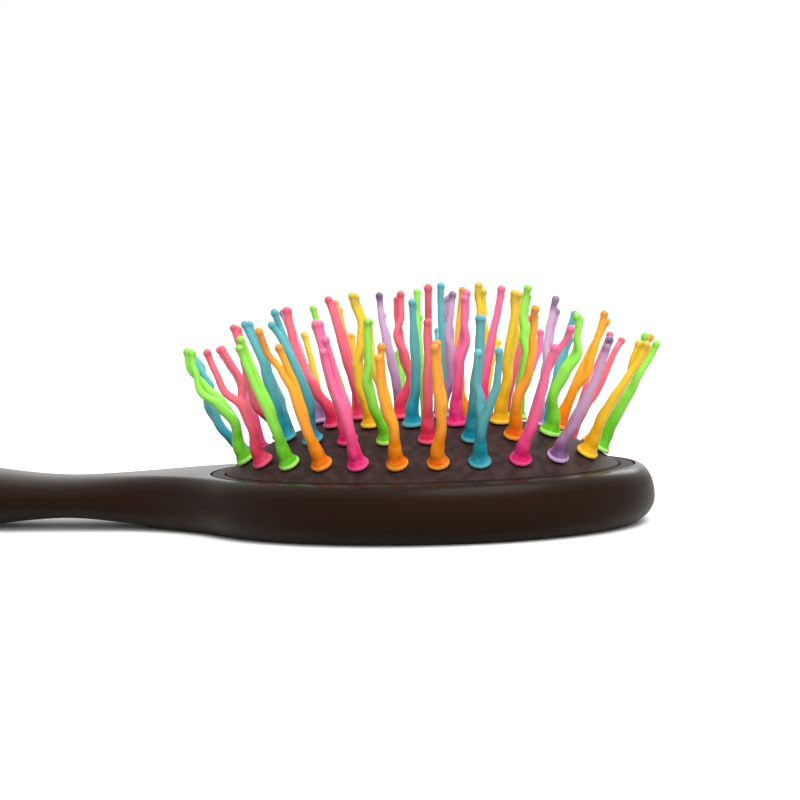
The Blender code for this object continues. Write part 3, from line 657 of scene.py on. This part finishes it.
# Sideways places of a tuft's strands at the split, then of each strand at the four stations above it, as
# shares of STRAND_SPREAD, and each strand's height as a share of TUFT_HEIGHT. These are the tufts that the
# photograph shows. The others draw theirs at random.
STRAND_SHARES = {
    "outer_01": (0.2, (-0.3, -0.5, -0.4, -0.4), 0.94, (-0.1, -0.3, -0.2, 0.0), 0.97),
    "outer_02": (0.4, (0.2, -0.1, -0.3, -0.4), 1.0, (0.5, 0.2, 0.0, -0.1), 0.98),
    "outer_03": (-0.1, (0.2, 0.5, 0.4, 0.1), 0.96, (-0.5, -1.1, -1.3, -1.2), 0.9),
    "outer_04": (0.3, (0.3, 0.1, 0.0, 0.2), 0.98, (0.3, 0.3, 0.6, 1.3), 1.08),
    "outer_05": (0.3, (0.4, 0.4, 0.3, 0.2), 0.98, (0.6, 0.8, 0.7, 0.5), 1.0),
    "outer_06": (-0.2, (-0.2, 0.0, 0.2, 0.2), 1.0, (0.2, 0.4, 0.0, -0.2), 0.96),
    "outer_10": (-0.1, (-0.2, -0.5, -0.6, -0.6), 1.12, (0.1, 0.0, -0.3, -0.2), 0.95),
    "outer_14": (0.2, (0.3, 0.5, 0.5, 0.4), 0.9, (0.1, 0.2, 0.3, 0.2), 0.86),
    "outer_16": (0.2, (0.3, 0.5, 0.7, 0.8), 1.02, (0.4, 0.6, 0.8, 0.9), 1.08),
    "outer_17": (0.2, (0.4, 0.5, 0.5, 0.5), 0.95, (0.6, 0.6, 0.7, 0.7), 0.93),
    "outer_18": (0.7, (0.9, 1.1, 1.0, 0.8), 0.97, (1.0, 1.2, 1.0, 0.9), 0.95),
    "outer_19": (-0.5, (-0.2, 0.8, 0.7, 0.9), 0.97, (-0.6, 0.1, 0.9, 0.3), 0.92),
    "outer_20": (1.0, (0.6, -0.1, 0.5, 1.3), 0.98, (0.9, 0.3, -0.1, 0.6), 1.0),
    "outer_21": (0.8, (1.0, 0.3, 0.5, 0.7), 1.0, (1.15, 1.9, 1.8, 1.7), 0.95),
    "outer_22": (0.3, (0.4, 0.4, 0.5, 0.6), 1.03, (0.6, 0.6, 0.7, 0.8), 1.05),
    "outer_23": (-0.1, (-0.1, 0.0, -0.3, -0.9), 1.19, (0.1, 0.2, 0.1, 0.0), 0.99),
    "outer_24": (0.1, (0.0, -0.3, -0.4, -0.4), 1.0, (0.3, 0.0, 0.0, -0.1), 1.04),
    "middle_01": (-0.75, (-1.0, -0.5, -0.35, -0.1), 1.0, (-0.85, -0.6, -0.25, 0.1), 0.96),
    "middle_02": (0.1, (0.0, 0.1, 0.0, 0.1), 0.98, (0.3, 0.4, 0.2, 0.2), 1.2),
    "middle_03": (0.0, (-0.2, -0.2, -0.4, -0.6), 1.0, (0.1, 0.1, -0.1, -0.3), 0.96),
    "middle_04": (-0.3, (0.0, -0.2, -0.6, -1.0), 1.06, (0.1, 0.0, -0.4, -0.8), 0.97),
    "middle_05": (-0.8, (-0.5, -0.1, -0.9, -1.6), 0.98, (-0.6, -0.2, -0.7, -1.2), 0.94),
    "middle_06": (0.1, (0.6, 0.4, 0.2, 0.0), 1.0, (0.1, 0.2, 0.4, 0.6), 0.96),
    "middle_07": (-0.2, (-0.6, -1.2, -1.5, -1.7), 1.05, (-0.4, -0.9, -1.2, -1.3), 0.98),
    "middle_08": (0.1, (0.2, 0.3, 0.3, 0.3), 0.93, (0.1, 0.2, 0.2, 0.1), 0.9),
    "middle_09": (-0.8, (-1.2, -1.5, -1.6, -1.6), 1.15, (-1.0, -1.3, -1.3, -1.2), 1.0),
    "middle_10": (-0.4, (-0.7, -0.9, -1.0, -0.9), 1.16, (-0.5, -0.7, -0.8, -0.7), 0.98),
    "middle_11": (-0.4, (-0.8, -1.0, -1.0, -0.9), 0.92, (-0.6, -0.8, -0.7, -0.6), 0.9),
    "middle_12": (-0.1, (-0.2, -0.4, -0.6, -0.7), 1.08, (-0.3, -0.6, -0.9, -1.0), 0.96),
    "middle_13": (0.8, (1.2, 1.4, 1.5, 1.4), 0.92, (1.4, 1.6, 1.7, 1.6), 0.9),
    "middle_14": (-1.1, (-0.6, 0.0, 0.1, 0.3), 1.0, (-0.9, -0.4, 0.3, 0.6), 0.98),
    "middle_15": (0.5, (0.7, 1.1, 1.1, 1.1), 1.0, (0.9, 1.3, 1.3, 1.3), 0.97),
    "middle_16": (0.9, (0.9, 0.9, 0.7, 0.3), 1.0, (0.9, 0.8, 0.8, 0.8), 1.06),
    "middle_17": (0.0, (-0.1, -0.1, 0.0, 0.0), 1.0, (0.2, 0.2, 0.2, 0.3), 0.96),
    "inner_01": (0.5, (0.6, 0.5, 0.6, 0.6), 1.0, (0.7, 0.7, 0.6, 0.7), 0.96),
    "inner_02": (0.1, (0.1, 0.5, 0.1, 0.0), 1.02, (-0.1, 0.2, 0.3, 0.2), 1.04),
    "inner_03": (0.2, (-0.3, -0.5, -0.6, -1.0), 1.05, (0.0, 0.1, -0.3, -0.5), 1.02),
    "inner_04": (-0.2, (-0.4, -1.2, -1.8, -1.9), 1.05, (-0.3, -0.8, -1.5, -1.7), 1.0),
    "inner_05": (-0.1, (-0.3, -0.9, -1.5, -2.0), 1.08, (-0.2, -0.6, -1.1, -1.5), 1.05),
    "inner_06": (0.0, (-0.1, -0.2, -0.4, -0.5), 1.1, (0.1, 0.0, -0.2, -0.3), 1.0),
    "inner_07": (-0.3, (-0.6, -0.9, -1.1, -1.1), 1.04, (-0.5, -0.7, -1.0, -0.9), 0.9),
    "inner_08": (0.0, (0.1, 0.2, 0.0, -0.1), 1.0, (-0.1, 0.0, 0.1, 0.2), 0.96),
    "inner_09": (0.1, (0.1, 0.2, 0.1, 0.0), 0.97, (0.2, 0.3, 0.3, 0.3), 0.95),
    "inner_10": (-0.9, (-1.6, -1.6, -1.4, -1.2), 1.0, (-1.4, -1.5, -1.3, -1.1), 0.98),
    "inner_11": (-0.5, (-0.4, 0.3, 0.7, 0.4), 1.07, (-0.2, 0.5, 0.9, 0.6), 1.04),
    "centre_01": (-0.3, (-0.5, -0.6, -0.7, -0.9), 1.0, (-0.3, -0.3, -0.5, -0.7), 0.97),
    "centre_02": (1.1, (0.8, 0.2, 0.8, 0.9), 1.02, (0.6, 0.5, 0.4, 0.6), 0.98),
    "centre_03": (0.9, (0.8, 0.4, 0.6, 0.7), 1.0, (0.6, 0.7, 0.3, 0.4), 0.97),
    "centre_04": (0.0, (0.0, 0.0, 0.1, 0.1), 1.03, (0.1, 0.1, 0.2, 0.2), 0.98),
}

# Base darkened as painted shade, middle, upper part paled as painted light, tip, and the painted highlight
# on the foot's thin rim
PALETTE = {
    "orange": ("#DC580A", "#F29010", "#F6AC2E", "#CC8830", "#EC9A36"),
    "magenta": ("#D21068", "#F03A84", "#F472A4", "#D86892", "#E8508C"),
    "rose": ("#CE1C4A", "#DE4464", "#E66C80", "#C85064", "#E46084"),
    "green": ("#54B414", "#6CCE2A", "#92E856", "#84C646", "#AEEC76"),
    "teal": ("#0484A0", "#1C92A6", "#58AEB6", "#4E98A6", "#5AAEB8"),
    "purple": ("#6C4A7A", "#94709C", "#C6A2CA", "#66506E", "#C8A8D6"),
    "yellow": ("#DE9E1A", "#EAB818", "#E6C62C", "#C4AA30", "#F4CE48"),
}


def centreline(height, lean):
    """The tuft's middle at these heights: straight up through the foot, a parabola to the split, and then
    straight on in its lean."""
    bend = SPLIT_HEIGHT - FOOT_HEIGHT
    past = np.maximum(height - FOOT_HEIGHT, 0.0)
    drift = np.where(past < bend, past**2 / (2 * bend), past - bend / 2)
    return np.stack([lean[0] * drift, lean[1] * drift, height], axis=-1)


def lathe(heights, diameters):
    """Rings about Z with these diameters at these heights, closed to a point at both ends."""
    turn = np.linspace(0.0, 2 * math.pi, TUFT_SIDES, endpoint=False)
    heights = np.array([heights[0], *heights, heights[-1]])[:, None]
    radii = np.array([0.0, *diameters, 0.0])[:, None] / 2
    rings = [radii * np.cos(turn), radii * np.sin(turn), np.broadcast_to(heights, (len(radii), TUFT_SIDES))]
    return np.stack(rings, axis=2)


def tube(path, diameters):
    """Rings of these diameters square to a path, closed to a point at both ends."""
    path = np.concatenate([path[:1], path, path[-1:]])
    radii = np.array([0.0, *diameters, 0.0])[:, None, None] / 2
    along = np.gradient(path[1:-1], axis=0)
    along = np.concatenate([along[:1], along, along[-1:]])
    along /= np.linalg.norm(along, axis=1, keepdims=True)
    side = np.cross(along, [0.0, 1.0, 0.0])
    side /= np.linalg.norm(side, axis=1, keepdims=True)
    turn = np.linspace(0.0, 2 * math.pi, TUFT_SIDES, endpoint=False)[None, :, None]
    ahead = np.cross(along, side)
    return path[:, None] + radii * (side[:, None] * np.cos(turn) + ahead[:, None] * np.sin(turn))


def ball_end(path, diameters, height):
    """Adds the ball tip to a strand: its widths follow a circle of TIP_DIAMETER over the last stretch."""
    below = (path[-1, 2] - height) / TIP_DIAMETER
    ball = np.sqrt(np.clip(below * (1 - below) * 4, 0.0, 1.0)) * TIP_DIAMETER
    return np.where(below < 0.5, ball, np.maximum(ball, diameters))


def strand_shares(name, draw):
    """The strand table's entry for a tuft, or a drawn one that wanders and parts as the seen ones do."""
    split = draw.uniform(-SPLIT_WANDER_SHARE, SPLIT_WANDER_SHARE)
    middle, first, second = split, [], []
    for _ in STATION_SHARES[1:]:
        middle += draw.uniform(-STATION_WANDER_SHARE, STATION_WANDER_SHARE)
        apart = draw.uniform(NEAR_SHARE, FAR_SHARE)
        first.append(middle + apart)
        second.append(middle - apart)
    height_shares = [1 - TIP_DROP_SHARE * draw.random() for _ in (first, second)]
    return STRAND_SHARES.get(name, (split, first, height_shares[0], second, height_shares[1]))


def tuft_points(name, lean, draw):
    """Parts of one tuft in its own frame: the lathed barb and foot, the stem, and the two strands. The foot
    narrows upwards by a power of one less a sine. A strand eases from each sideways place to the next, and
    the two keep to two lanes, one before and one behind, so they cross without touching."""
    barb = -CUSHION_WALL - FIT_GAP
    flare_top = FIT_GAP + FOOT_EDGE
    rest = 1 - np.sin(np.linspace(0.0, math.pi / 2, FLARE_STEPS))
    flare_heights = FOOT_HEIGHT - (FOOT_HEIGHT - flare_top) * rest
    flare_diameters = STEM_DIAMETER + (FOOT_DIAMETER - STEM_DIAMETER) * rest**FLARE_POWER
    core_top = FOOT_HEIGHT + FOOT_EDGE
    foot = lathe(
        [barb - BARB_HEIGHT, barb, barb, FIT_GAP, FIT_GAP, flare_top, *flare_heights, core_top],
        [
            NECK_DIAMETER * BARB_TIP_SHARE,
            BARB_DIAMETER,
            NECK_DIAMETER,
            NECK_DIAMETER,
            FOOT_DIAMETER,
            FOOT_DIAMETER,
            *flare_diameters,
            STEM_DIAMETER * STEM_CORE_SHARE,
        ],
    )
    split, first, first_height, second, second_height = strand_shares(name, draw)
    turned = 2 * math.pi * (LANE_TURN_SHARE if name in STRAND_SHARES else draw.random())
    side = np.array([math.cos(turned), math.sin(turned), 0.0])
    lane = np.array([-math.sin(turned), math.cos(turned), 0.0])
    parts = [foot]
    stem_top = SPLIT_HEIGHT + STEM_DIAMETER / 2
    height = np.linspace(FOOT_HEIGHT / 2, stem_top, STEM_STEPS)
    into_split = ease((height - FOOT_HEIGHT) / (SPLIT_HEIGHT - FOOT_HEIGHT))
    path = centreline(height, lean) + side * (split * STRAND_SPREAD * into_split)[:, None]
    taper = STEM_TAPER_SHARE * ease((height - FOOT_HEIGHT) / (stem_top - FOOT_HEIGHT))
    parts.append(tube(path, STEM_DIAMETER * (1 - taper)))
    for shares, height_share, before in ((first, first_height, -1), (second, second_height, 1)):
        tip = TUFT_HEIGHT * height_share
        into_ball = np.linspace(BALL_START_SHARE, 0.0, BALL_STEPS) ** 2
        height = np.concatenate(
            [np.linspace(FOOT_HEIGHT, tip - TIP_DIAMETER, STRAND_STEPS), tip - TIP_DIAMETER * into_ball]
        )
        above = (height - SPLIT_HEIGHT) / (TUFT_HEIGHT - SPLIT_HEIGHT)
        into_split = ease((height - FOOT_HEIGHT) / (SPLIT_HEIGHT - FOOT_HEIGHT))
        sideways = through_stations(above, list(zip(STATION_SHARES, (split, *shares))))
        sideways = sideways - split * (1 - into_split)
        away = ROOT_LANE * into_split + (TIP_LANE - ROOT_LANE) * ease(above / STATION_SHARES[2])
        path = centreline(height, lean) + side * sideways[:, None] * STRAND_SPREAD
        path = path + lane * (before * away)[:, None]
        thinner = (STRAND_DIAMETER - STRAND_ROOT_DIAMETER) * ease(above / STATION_SHARES[3])
        parts.append(tube(path, ball_end(path, STRAND_ROOT_DIAMETER + thinner, height)))
    return parts


def float_attribute(mesh, name, values):
    """Stores one number for each point of the mesh."""
    attribute = mesh.attributes.new(name, "FLOAT", "POINT")
    attribute.data.foreach_set("value", np.asarray(values, dtype=np.float32))


def moulded_elastomer(name, colours):
    """Translucent thermoplastic elastomer, moulded: its own colour, darkened towards the thick foot as
    painted shade and paled up the strands as painted light, with a painted highlight on the foot's rim;
    dull at the foot and glossier up the strands, with faint streaks where the colour didn't mix through."""
    shaded_base, middle, light, tip, rim_highlight = (linear(code) for code in colours)
    material, tree, shader = new_material(
        name,
        {
            "Roughness": 0.30,
            "IOR": 1.47,
            "Subsurface Weight": 0.35,
            "Subsurface Radius": (1.0, 0.8, 0.8),
            "Subsurface Scale": SUBSURFACE_REACH,
        },
    )
    height = add_node(tree, "ShaderNodeAttribute", attribute_name="height")
    ramp = add_node(tree, "ShaderNodeValToRGB", {"Fac": height.outputs["Fac"]})
    # The ramp's dark base is painted shade and its pale upper part is painted light, laid over the tuft's
    # own colours
    stops = (shaded_base, middle, light, light, tip)
    # New stops start halfway, and the loop below moves them to their places
    while len(ramp.color_ramp.elements) < len(stops):
        ramp.color_ramp.elements.new(0.5)
    for element, place, colour in zip(ramp.color_ramp.elements, COLOUR_STOP_SHARES, stops):
        element.position = place
        element.color = colour
    where = add_node(tree, "ShaderNodeTexCoord").outputs["Object"]
    swirl = add_node(tree, "ShaderNodeTexNoise", {"Vector": where, "Scale": 1 / SWIRL_SIZE, "Detail": 2.0})
    pale = add_node(
        tree,
        "ShaderNodeMapRange",
        {"Value": swirl.outputs["Fac"], "From Min": 0.45, "From Max": 0.75, "To Max": 0.5},
    )
    streaked = add_node(
        tree,
        "ShaderNodeMix",
        {"Factor": pale.outputs["Result"], "A": ramp.outputs["Color"], "B": light},
        data_type="RGBA",
    )
    edge = add_node(tree, "ShaderNodeAttribute", attribute_name="rim_highlight")
    # Painted highlight: the foot's thin rim is mixed towards a lighter colour
    tone = add_node(
        tree,
        "ShaderNodeMix",
        {"Factor": edge.outputs["Fac"], "A": streaked.outputs["Result"], "B": rim_highlight},
        data_type="RGBA",
    )
    gloss = add_node(
        tree,
        "ShaderNodeMapRange",
        {
            "Value": height.outputs["Fac"],
            "From Min": 0.08,
            "From Max": 0.40,
            "To Min": 0.10,
            "To Max": 0.45,
        },
    )
    tree.links.new(tone.outputs["Result"], shader.inputs["Base Color"])
    tree.links.new(gloss.outputs["Result"], shader.inputs["Specular IOR Level"])
    return material


elastomers = {colour: moulded_elastomer("elastomer_" + colour, codes) for colour, codes in PALETTE.items()}
draw = random.Random(TUFT_SEED)
for ring, number, inset, turn, colour in tuft_sites():
    name = f"{ring}_{number:02d}"
    foot, axes = site_frame(inset, turn)
    fan = axes @ np.array([foot[0], foot[1], FAN_RADIUS])
    lean = fan[:2] / fan[2]
    points, faces = [], []
    for part in tuft_points(name, lean, draw):
        faces.append(grid_faces(len(part), TUFT_SIDES, False) + sum(len(block) for block in points))
        points.append(part.reshape(-1, 3))
    placed = np.concatenate(points) @ axes + foot
    tuft = add_piece("strands_" + name, mesh_from("strands_" + name, placed, np.concatenate(faces)))
    union = tuft.modifiers.new("Union", "REMESH")
    union.mode = "VOXEL"
    union.voxel_size = VOXEL
    smooth = tuft.modifiers.new("Smooth", "SMOOTH")
    smooth.factor = SMOOTH_FACTOR
    smooth.iterations = SMOOTH_ROUNDS
    bake_modifiers(tuft)
    tuft.data.shade_smooth()
    corners = np.empty(len(tuft.data.vertices) * 3)
    tuft.data.vertices.foreach_get("co", corners)
    local = (corners.reshape(-1, 3) - foot) @ axes.T
    across = np.hypot(local[:, 0], local[:, 1])
    float_attribute(tuft.data, "height", local[:, 2] / TUFT_HEIGHT)
    # The rim is the thin part of the foot that stands out past the stem, and a painted highlight makes it
    # lighter
    past_stem = ease((2 * across - STEM_DIAMETER) / (FOOT_DIAMETER - STEM_DIAMETER))
    float_attribute(tuft.data, "rim_highlight", past_stem * (local[:, 2] < FOOT_HEIGHT / 2))
    tuft.data.materials.append(elastomers[colour])
    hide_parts("tuft_" + name)
    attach(tuft, "centre_row" if ring == "centre" else ring + "_ring")

# The backdrop is a plain pale floor in a white studio. The room's light comes from above and behind, a wide
# sun lights the tufts from overhead, and a large soft lamp stands on either side of the brush.
FLOOR_REACH = 6.0
ROOM_DIRECTION = (0.25, 0.68, 0.69)
ROOM_DIM = 0.12
ROOM_BRIGHT = 0.95
floor_corners = np.array([[-1.0, -1.0, 0.0], [1.0, -1.0, 0.0], [1.0, 1.0, 0.0], [-1.0, 1.0, 0.0]])
floor = add_piece(
    "studio_floor", mesh_from("studio_floor", floor_corners * FLOOR_REACH, np.array([[0, 1, 2, 3]]))
)
floor_paint, floor_tree, floor_shader = new_material(
    "pale_floor", {"Roughness": 0.8, "Specular IOR Level": 0.2}
)


def seen_ray(tree):
    """1 on camera rays, and on glossy and transmitted rays, which show the pale background, else 0."""
    path = add_node(tree, "ShaderNodeLightPath").outputs
    mirrored = add_node(
        tree,
        "ShaderNodeMath",
        {0: path["Is Glossy Ray"], 1: path["Is Transmission Ray"]},
        operation="MAXIMUM",
    )
    seen = add_node(
        tree, "ShaderNodeMath", {0: path["Is Camera Ray"], 1: mirrored.outputs[0]}, operation="MAXIMUM"
    )
    return seen.outputs[0]


floor_tone = add_node(
    floor_tree,
    "ShaderNodeMix",
    {"Factor": seen_ray(floor_tree), "A": linear("#8E7C6C"), "B": linear("#F2F2F0")},
    data_type="RGBA",
)
floor_tree.links.new(floor_tone.outputs["Result"], floor_shader.inputs["Base Color"])
floor.data.materials.append(floor_paint)

world = bpy.data.worlds.new("studio_room")
bpy.context.scene.world = world
world.use_nodes = True
background = world.node_tree.nodes["Background"]
# The room is white where it is seen. Its light on the brush is strong from above and behind, and weak in
# front
direction = add_node(world.node_tree, "ShaderNodeTexCoord")
above_and_behind = add_node(
    world.node_tree,
    "ShaderNodeVectorMath",
    {0: direction.outputs["Generated"], 1: ROOM_DIRECTION},
    operation="DOT_PRODUCT",
)
room_light = add_node(
    world.node_tree,
    "ShaderNodeMapRange",
    {
        "Value": above_and_behind.outputs["Value"],
        "From Min": -0.4,
        "From Max": 0.8,
        "To Min": ROOM_DIM,
        "To Max": ROOM_BRIGHT,
    },
    interpolation_type="SMOOTHSTEP",
)
strength = add_node(
    world.node_tree,
    "ShaderNodeMix",
    {"Factor": seen_ray(world.node_tree), "A": room_light.outputs["Result"], "B": 1.0},
    data_type="FLOAT",
)
background.inputs["Color"].default_value = linear("#FFFFFF")
world.node_tree.links.new(strength.outputs["Result"], background.inputs["Strength"])


def lamp(name, kind, place, energy, **settings):
    """A lamp at a place, turned towards the brush's head."""
    light = bpy.data.lights.new(name, kind)
    light.energy = energy
    for setting, value in settings.items():
        setattr(light, setting, value)
    stand = bpy.data.objects.new(name, light)
    stand.matrix_world = Matrix.Translation(place) @ (
        (-Vector(place)).to_track_quat("-Z", "Y").to_matrix().to_4x4()
    )
    bpy.context.scene.collection.objects.link(stand)
    return stand


lamp("overhead_sun", "SUN", place=(0.30, -0.45, 1.0), energy=2.4, angle=math.radians(40))
front_softbox = lamp(
    "front_softbox", "AREA", place=(0.35, -0.90, 0.50), energy=8.5, shape="DISK", size=0.9
)
# The dark side shows no streak of the lamp in front
front_softbox.visible_glossy = False
lamp("rear_softbox", "AREA", place=(0.30, 0.80, 0.60), energy=3.0, shape="DISK", size=0.5)

bpy.context.scene.view_settings.view_transform = "Standard"
